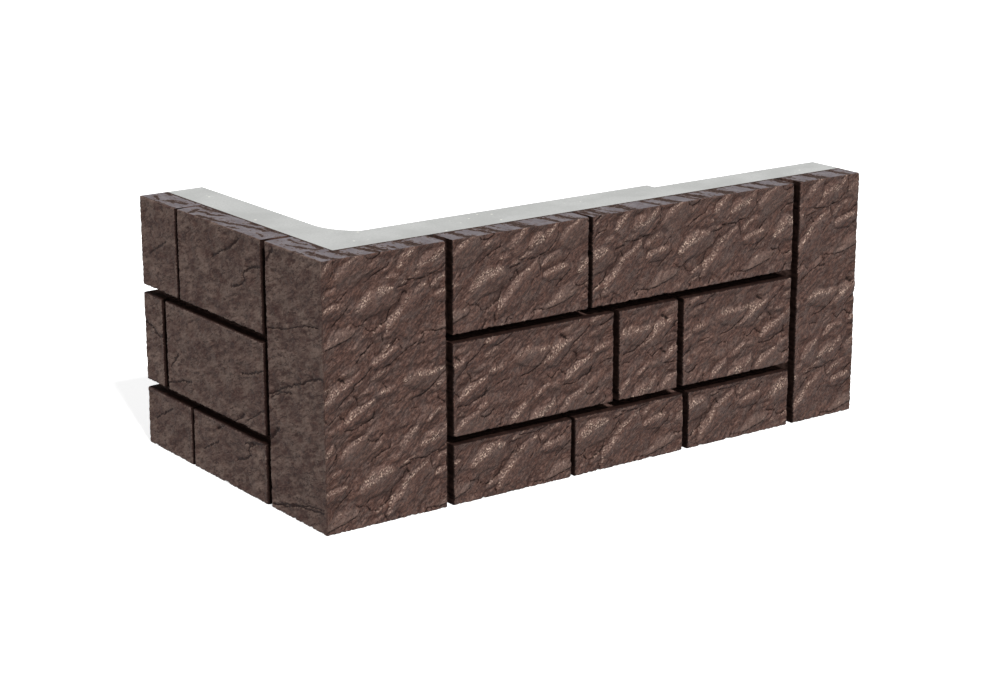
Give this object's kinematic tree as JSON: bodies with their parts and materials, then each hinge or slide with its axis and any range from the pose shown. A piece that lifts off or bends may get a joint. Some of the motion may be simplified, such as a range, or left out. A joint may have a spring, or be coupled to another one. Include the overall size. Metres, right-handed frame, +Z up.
{
  "type": "stone-faced concrete corner wall block",
  "caption": "L-shaped corner block for a wall: a pale concrete backing faced with rock-faced brown stones laid in courses with open joints.",
  "frame": {"origin": "middle of the block's overall box in plan, at the level of the bed it stands on", "axes": "+X along the long arm away from the outer corner, whose face looks to -Y; +Y along the short arm away from the outer corner, whose face looks to -X; +Z up"},
  "size_m": [1.165, 0.61, 0.457],
  "materials": {
    "grey_concrete_backing": "cast concrete, matte, with fine dark and light specks",
    "brown_stone_facing": "rock-faced, warm dark brown with paler peach edges and a slight sheen"
  },
  "bodies": {
    "root": {"backing": "grey_concrete_backing", "corner_stone": "brown_stone_facing", "end_stone": "brown_stone_facing", "front_bottom_1": "brown_stone_facing", "front_bottom_2": "brown_stone_facing", "front_bottom_3": "brown_stone_facing", "front_middle_1": "brown_stone_facing", "front_middle_2": "brown_stone_facing", "front_middle_3": "brown_stone_facing", "front_top_1": "brown_stone_facing", "front_top_2": "brown_stone_facing", "side_bottom_1": "brown_stone_facing", "side_bottom_2": "brown_stone_facing", "side_middle_1": "brown_stone_facing", "side_middle_2": "brown_stone_facing", "side_top_1": "brown_stone_facing", "side_top_2": "brown_stone_facing"}
  },
  "joints": []
}
